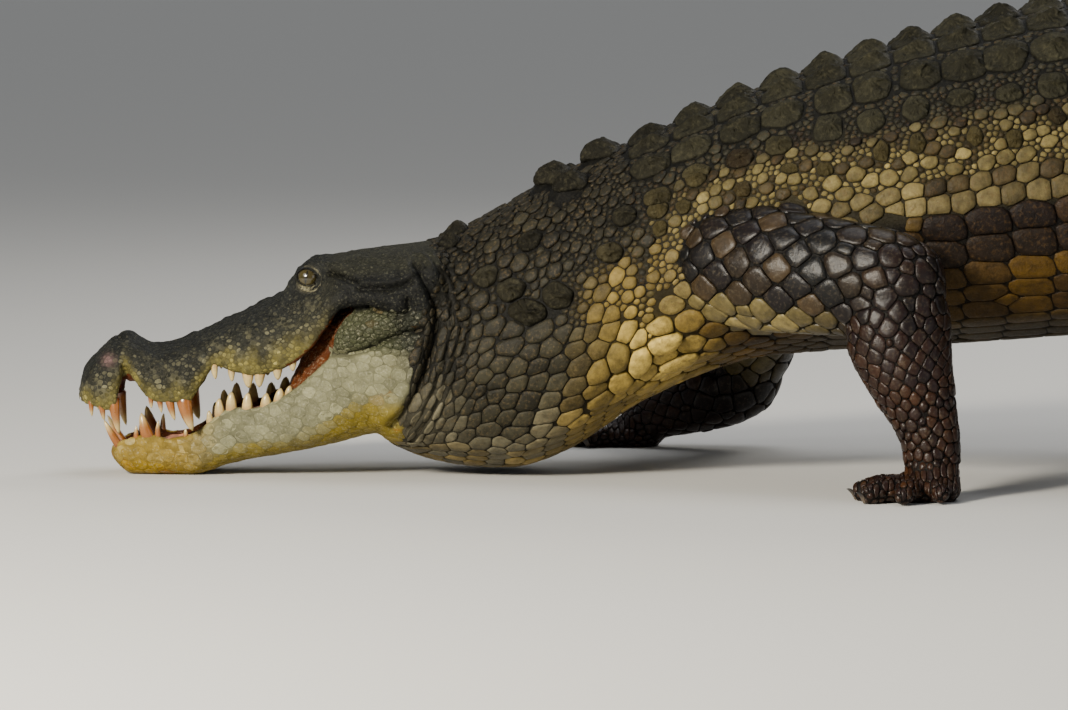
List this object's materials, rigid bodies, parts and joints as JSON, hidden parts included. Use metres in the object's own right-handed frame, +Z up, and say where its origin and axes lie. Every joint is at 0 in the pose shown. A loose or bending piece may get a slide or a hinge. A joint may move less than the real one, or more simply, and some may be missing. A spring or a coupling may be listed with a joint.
{
  "type": "mugger crocodile",
  "caption": "Life-size still mugger crocodile in a low walk: jaw and throat near the floor, mouth part open, a foreleg reaching forward and the tail laid on the floor.",
  "frame": {"origin": "on the floor under the middle of the animal's bounding box", "axes": "+Z up, +X along the body from the snout towards the tail, +Y to the animal's right"},
  "size_m": [3.5554, 0.9186, 0.6591],
  "materials": {
    "head_hide": "dark grey-olive rough hide with yellowish mottling on the snout",
    "jaw_hide": "pale cream-grey hide with fine cracks and a yellow lower border",
    "neck_hide": "grey-olive oblong scales with dark grooves",
    "body_hide": "dark olive keeled scutes above, cream-yellow oval scales on the flank, ochre belly",
    "tail_hide": "dark olive whorls of scales with raised crests",
    "limb_hide": "dark brown diamond scales with a slight gloss",
    "eye": "glossy olive-gold eye",
    "claw": "dark horn with a low sheen",
    "tongue": "moist pinkish yellow"
  },
  "bodies": {
    "root": {"head": "head_hide", "lower_jaw": "jaw_hide", "tongue": "tongue", "eye_left": "eye", "eye_right": "eye", "neck": "neck_hide", "trunk": "body_hide", "tail_base": "tail_hide", "tail_middle": "tail_hide", "tail_end": "tail_hide", "left_upper_arm": "limb_hide", "left_forearm": "limb_hide", "left_forefoot": "limb_hide", "left_thigh": "limb_hide", "left_shank": "limb_hide", "left_hindfoot": "limb_hide", "left_forefoot_claw_1": "claw", "left_forefoot_claw_2": "claw", "left_forefoot_claw_3": "claw", "left_hindfoot_claw_1": "claw", "left_hindfoot_claw_2": "claw", "left_hindfoot_claw_3": "claw", "right_upper_arm": "limb_hide", "right_forearm": "limb_hide", "right_forefoot": "limb_hide", "right_thigh": "limb_hide", "right_shank": "limb_hide", "right_hindfoot": "limb_hide", "right_forefoot_claw_1": "claw", "right_forefoot_claw_2": "claw", "right_forefoot_claw_3": "claw", "right_hindfoot_claw_1": "claw", "right_hindfoot_claw_2": "claw", "right_hindfoot_claw_3": "claw"}
  },
  "joints": []
}
